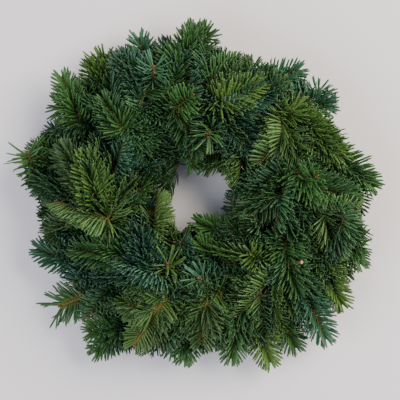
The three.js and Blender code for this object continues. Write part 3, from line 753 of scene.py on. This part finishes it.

# %% [markdown]
# The listed tips go into the plan first, as far as they show, and so do the side
# shoots that some of them carry. Then each tip gets more side shoots, left and right in turn,
# along its bend and the first third of the part that shows. For every one, twenty ways are tried,
# five angles with four lengths. It takes the barest, but is left out if that one ends past the
# rim or in the hole. None rises more than a few millimetres above the place that it leaves.

# %% Laying the side shoots
SIDE_SHOOT_STEP = 12
SIDE_SHOOT_ANGLES = np.radians([28, 40, 52, 64, 78])
SIDE_SHOOT_LENGTHS = (26, 36, 46, 56)
FIRST_SIDE_SHOOT = 8
SIDE_SHOOT_ON_TIP = 0.3
LAID_SIDE_POINTS = 12
SHOWS_FROM_HEIGHT = 24
PLACES_SEED, PLACES_SPACING, PLACES_JITTER = 7000, 2.0, 3
RISE_ABOVE_TIP = 8


def laid_side(points, share, side_end):
    """The listed side shoot, from its root on the part of the tip that shows."""
    root = points[-2] + (points[-1] - points[-2]) * share
    side_end = np.array(side_end, float)
    return np.linspace(root, side_end - unit(side_end - root) * TIP_BRUSH, LAID_SIDE_POINTS)


tips = []
for bundle, lane, _, _, start, end, *side in TIPS:
    points, bend_from, bend_to = twig_line(bundle, lane, start, end)
    laid = laid_side(points, *side) if side else None
    tips.append((points, bend_from, bend_to, laid))
    crowd(points[points[:, 2] > SHOWS_FROM_HEIGHT])
    if side:
        crowd(laid)

added = {}
for number, (points, bend_from, bend_to, _) in enumerate(tips):
    random = np.random.default_rng(PLACES_SEED + number)
    line, length = evenly(points, PLACES_SPACING)
    last = bend_to + (length - bend_to) * SIDE_SHOOT_ON_TIP
    along = unit(np.gradient(line, axis=0))
    added[number] = []
    side = 1 if number % 2 else -1
    for at in np.arange(bend_from + FIRST_SIDE_SHOOT, last, SIDE_SHOOT_STEP):
        at += random.uniform(-PLACES_JITTER, PLACES_JITTER)
        spot = min(int(at / length * (len(line) - 1)), len(line) - 1)
        highest = line[spot][2] + RISE_ABOVE_TIP
        side = -side
        choices = []
        for angle in SIDE_SHOOT_ANGLES:
            for reach in SIDE_SHOOT_LENGTHS:
                drop = min(height_under(line[spot] + along[spot] * reach, random), highest)
                way = side_line(line[spot], along[spot], angle, side, reach, drop)
                choices.append((cost_of(way), len(choices), way))
        cost, _, way = min(choices)
        if cost < OUTSIDE_COST:
            crowd(way)
            added[number].append(way)
print("side shoots that found room:", sum(len(ways) for ways in added.values()))

# %% [markdown]
# One shoot is a twig with its needles and buds. The twig narrows to its end, and small random
# bumps keep it from looking turned. Where it was cut from the tree, its first face shows wood.

# %% One shoot
BARK_SURFACE, BUD_SURFACE, WOOD_SURFACE, NEEDLE_SURFACE = 0, 1, 2, 3
TWIG_SIDES, TWIG_SPACING, BARK_BUMPS = 6, 4.0, 0.10


def shoot(points, root_radius, bare, comb, feather, open_ended, age, random, cut=False):
    """One twig with its needles and buds; a cut stem shows its wood at the start."""
    points, _ = evenly(points, TWIG_SPACING)
    radii = np.linspace(root_radius, TWIG_RADIUS, len(points))
    bumps = 1 + BARK_BUMPS * random.random((len(points), TWIG_SIDES))
    end_surface = WOOD_SURFACE if cut else None
    parts = tube(points, radii[:, None] * bumps, TWIG_SIDES, BARK_SURFACE, end_surface)
    parts.append(needles(points, radii, bare, comb, feather, open_ended, age, random, NEEDLE_SURFACE))
    parts += bud_group(points[-1], unit(points[-1] - points[-2]), random, BUD_SURFACE)
    return parts


print("a twig has a ring of", TWIG_SIDES, "corners every", TWIG_SPACING, "mm")

# %% [markdown]
# Now every spray is put together from its shoots, and takes the place of the coarse solid of the
# same name. Three sprays at the bottom and the lower left are flat feathers with older needles,
# and two at the left are open-ended. One spray also carries a stub: a stem cut short between the
# tips at the lower right, which shows its pale end.

# %% The sprays
NEEDLED_BEND = 42
NEEDLED_BEND_SHARE = 0.72
SIDE_BARE = 4
FEATHERS = {"spray_05_high_outer", "spray_06_high_outer", "spray_07_low_outer"}
OPEN_ENDED = {"spray_07_low_outer", "spray_08_low_outer"}
FEATHER_OLDER = 0.35
STUB_SPRAY = "spray_03_high_middle"
STUB_CUT, STUB_ROOT = np.array([128, -82, 84]), np.array([113, -85, 63])
STUB_RADIUS = 2.1
STUB_POINTS, STUB_SIDES = 5, 10
SPRAYS_SEED = 4000
# side shoots lie low among the tips and are made older, so their darker needles are partly painted shade
TIP_AGES, LAID_SIDE_AGES, SIDE_AGES_WITH_SHADE = (0, 0.35), (0.1, 0.5), (0.4, 1)
SIDE_ROLLS = (-0.4, 0.4)
FEATHER_CHANCE = 0.2

total, shoots = 0, 0
for number, (bundle, lane, tint, comb, start, end, *side) in enumerate(TIPS):
    random = np.random.default_rng(SPRAYS_SEED + number)
    points, bend_from, bend_to, laid = tips[number]
    bare = bend_to - min(NEEDLED_BEND, (bend_to - bend_from) * NEEDLED_BEND_SHARE)
    node = f"spray_{bundle:02d}_{lane}"
    feather = node in FEATHERS
    comb = 0 if feather else comb
    open_ended = node in OPEN_ENDED
    age = random.uniform(*TIP_AGES) + FEATHER_OLDER * feather
    parts = shoot(points, STEM_RADIUS, bare, comb, feather, open_ended, age, random, cut=True)
    if side:
        age = random.uniform(*LAID_SIDE_AGES)
        parts += shoot(laid, SIDE_RADIUS, SIDE_BARE, comb, feather, open_ended, age, random)
    if node == STUB_SPRAY:
        stub = np.linspace(STUB_CUT, STUB_ROOT, STUB_POINTS)
        radii = np.full(STUB_POINTS, STUB_RADIUS)
        parts += tube(stub, radii, STUB_SIDES, BARK_SURFACE, WOOD_SURFACE)
    for way in added[number]:
        roll = random.uniform(*SIDE_ROLLS)
        age = random.uniform(*SIDE_AGES_WITH_SHADE)
        flat = random.random() < FEATHER_CHANCE
        parts += shoot(way, SIDE_RADIUS, SIDE_BARE, roll, flat, False, age, random)
    spray = make_piece(f"fir_{node}", parts, [*SURFACES, NEEDLES[tint]])
    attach(spray, "root")
    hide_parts(node)
    total += len(spray.data.polygons)
    shoots += 1 + len(side) // 2 + len(added[number])
print("shoots:", shoots, "faces in all sprays:", total)

# %% [markdown]
# The clamp ring shows on the wreath's back. Its two rails are closed rings of round wire, and each
# clamp is a piece of thinner wire: a bar welded across the rails, with two prongs that were folded
# over the stems. A rail is a torus, and a clamp is a tube along a line with four rounded corners.

# %% The clamp ring
RAIL_OFFSET = 11
RAIL_WIRE = 1.5
RAIL_STEPS = 144
WIRE_SIDES = 12
CLAMP_HALF_WIDTH = 15
CLAMP_TOP, CLAMP_BOTTOM = 19.6, 2.9
CLAMP_WIRE = 1.3
CLAMP_PRONG_GAP = 5
CLAMP_CORNER = 5
CORNER_STEPS = 7


def rail(radius):
    """A torus: radius + wire * cos(a) outwards and wire * (1 - sin(a)) up, all round the ring."""
    turn = np.linspace(0, 2 * np.pi, RAIL_STEPS, endpoint=False)[:, None]
    a = np.linspace(0, 2 * np.pi, WIRE_SIDES, endpoint=False)[None]
    out = radius + RAIL_WIRE * np.cos(a)
    up = RAIL_WIRE * (1 - np.sin(a)) + 0 * turn
    places = np.stack([out * np.cos(turn), out * np.sin(turn), up], axis=-1).reshape(-1, 3)
    here = np.arange(RAIL_STEPS)[:, None] * WIRE_SIDES
    ahead = np.roll(here, -1, axis=0)
    k = np.arange(WIRE_SIDES)[None]
    beside = (k + 1) % WIRE_SIDES
    quads = np.stack([here + k, here + beside, ahead + beside, ahead + k], axis=-1)
    return {"places": places, "faces": [quads.reshape(-1, 4)], "surface": 0}


def clamp_line(bundle):
    """From prong end to prong end: four quarter circles joined by straight stretches."""
    reach = CLAMP_HALF_WIDTH - CLAMP_CORNER
    high, low = CLAMP_TOP - CLAMP_CORNER, CLAMP_BOTTOM + CLAMP_CORNER
    line = [(CLAMP_PRONG_GAP / 2, CLAMP_TOP)]
    for side, height, first in ((1, high, 90), (1, low, 0), (-1, low, -90), (-1, high, -180)):
        for angle in np.radians(np.linspace(first, first - 90, CORNER_STEPS)):
            across = side * reach + CLAMP_CORNER * math.cos(angle)
            line.append((across, height + CLAMP_CORNER * math.sin(angle)))
    line.append((-CLAMP_PRONG_GAP / 2, CLAMP_TOP))
    return np.array([by_clamp(bundle, across, 0, up) for across, up in line])


ring_parts = [rail(RING_RADIUS - RAIL_OFFSET), rail(RING_RADIUS + RAIL_OFFSET)]
for bundle in range(CLAMP_COUNT):
    line = clamp_line(bundle)
    ring_parts += tube(line, np.full(len(line), CLAMP_WIRE), WIRE_SIDES, 0)
ring = make_piece("wire_clamp_ring", ring_parts, [ENAMEL])
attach(ring, "root")
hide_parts("clamp_ring")
print("faces in the clamp ring:", len(ring.data.polygons))

# %% [markdown]
# The table is a board with pale matt paint, which has no highlight and is a little uneven in its
# tone, in patches about a metre wide. Its noise is spread over the whole board, so the scale is
# the board's size over a patch's. The light is soft, as from a large window at the upper right,
# with a weak, bluish fill from the open room, which gives the lavender shadow at the left.

# %% Table and light
TABLE_SIZE = 6.0
PAINT_PATCH = 1000
PAINT_ROUGHNESS = 0.8
table_material, table_shader = new_material("pale_painted_board")
table_grain = add_node(
    table_material, "ShaderNodeTexNoise", Scale=TABLE_SIZE / MM / PAINT_PATCH, Detail=3.0
)
table_tone = add_node(
    table_material, "ShaderNodeMix", {"data_type": "RGBA"},
    _0=(table_grain, "Fac"), _6=linear("#e2e0e0"), _7=linear("#eae8e7"),
)
feed(table_material, table_shader, Base_Color=(table_tone, 2))
table_shader.inputs["Roughness"].default_value = PAINT_ROUGHNESS
half = TABLE_SIZE / 2
table_corners = [(-half, -half, 0), (half, -half, 0), (half, half, 0), (-half, half, 0)]
table_mesh = bpy.data.meshes.new("table")
table_mesh.from_pydata(table_corners, [], [(0, 1, 2, 3)])
table_mesh.materials.append(table_material)
table = bpy.data.objects.new("table", table_mesh)
bpy.context.scene.collection.objects.link(table)


def soft_light(name, place, size, power, colour):
    """A square area light that points at the wreath: place and size in metres, power in watts."""
    data = bpy.data.lights.new(name, "AREA")
    data.size = size
    data.energy = power
    data.color = linear(colour)[:3]
    lamp = bpy.data.objects.new(name, data)
    lamp.location = place
    lamp.rotation_mode = "QUATERNION"
    lamp.rotation_quaternion = (-Vector(place)).to_track_quat("-Z", "Y")
    bpy.context.scene.collection.objects.link(lamp)


soft_light("window", (1.5, 0.85, 1.25), 1.8, 109, "#fff4e6")
soft_light("room", (-1.5, -0.9, 1.2), 2.0, 60, "#f4f1fb")
ROOM_COLOUR, ROOM_STRENGTH = "#cbd1ea", 0.52
world = bpy.data.worlds.new("room light")
bpy.context.scene.world = world
world.use_nodes = True
world.node_tree.nodes["Background"].inputs["Color"].default_value = linear(ROOM_COLOUR)
world.node_tree.nodes["Background"].inputs["Strength"].default_value = ROOM_STRENGTH
